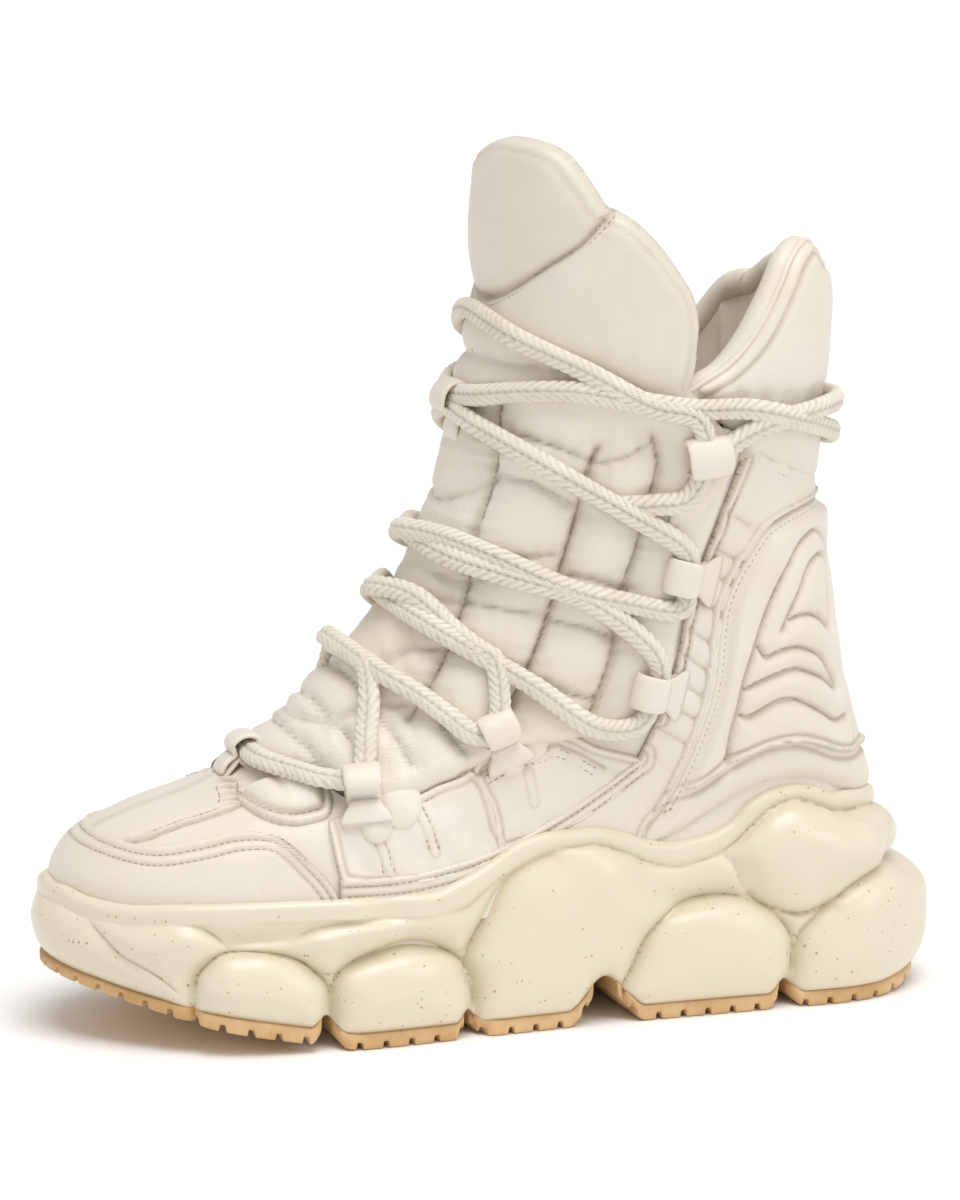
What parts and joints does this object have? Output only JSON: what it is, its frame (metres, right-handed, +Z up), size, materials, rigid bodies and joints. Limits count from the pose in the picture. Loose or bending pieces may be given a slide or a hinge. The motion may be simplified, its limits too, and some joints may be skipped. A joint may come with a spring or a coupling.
{
  "type": "padded lace-up ankle boot",
  "caption": "Padded leather ankle boot for a left foot, laced through folded loops, with a tall tongue, a raised heel collar and a thick bubbled foam sole on rubber pads.",
  "frame": {"origin": "middle of the boot's box in plan, on the floor", "axes": "+Z up, the toe towards -Y, the heel towards +Y, the outer side of the left foot towards +X"},
  "size_m": [0.1192, 0.3038, 0.2827],
  "materials": {
    "leather": "satin grain, warm off-white",
    "lining": "soft matt lining",
    "foam": "glossy moulded foam with tan specks",
    "gum": "semi-matt gum rubber",
    "cord": "braided cord"
  },
  "bodies": {
    "root": {"midsole": "foam", "insole": "lining", "outsole_heel": "gum", "outsole_waist": "gum", "outsole_ball_rear": "gum", "outsole_ball_front": "gum", "outsole_toe": "gum", "upper": "leather", "tongue": "leather", "collar": "leather", "toe_guard": "leather", "heel_panel": "leather", "side_strap_outer": "leather", "quarter_front_outer": "leather", "quarter_rear_outer": "leather", "vamp_pad_outer": "leather", "side_strap_inner": "leather", "quarter_front_inner": "leather", "quarter_rear_inner": "leather", "vamp_pad_inner": "leather", "loop_outer_1": "leather", "loop_outer_2": "leather", "loop_outer_3": "leather", "loop_outer_4": "leather", "loop_outer_5": "leather", "loop_inner_1": "leather", "loop_inner_2": "leather", "loop_inner_3": "leather", "loop_inner_4": "leather", "loop_inner_5": "leather", "loop_toe": "leather", "loop_tongue": "leather", "lace_cross_1": "cord", "lace_cross_2": "cord", "lace_cross_3": "cord", "lace_wrap": "cord", "lace_toe_outer": "cord", "lace_cross_4_outer": "cord", "lace_toe_inner": "cord", "lace_cross_4_inner": "cord"}
  },
  "joints": []
}
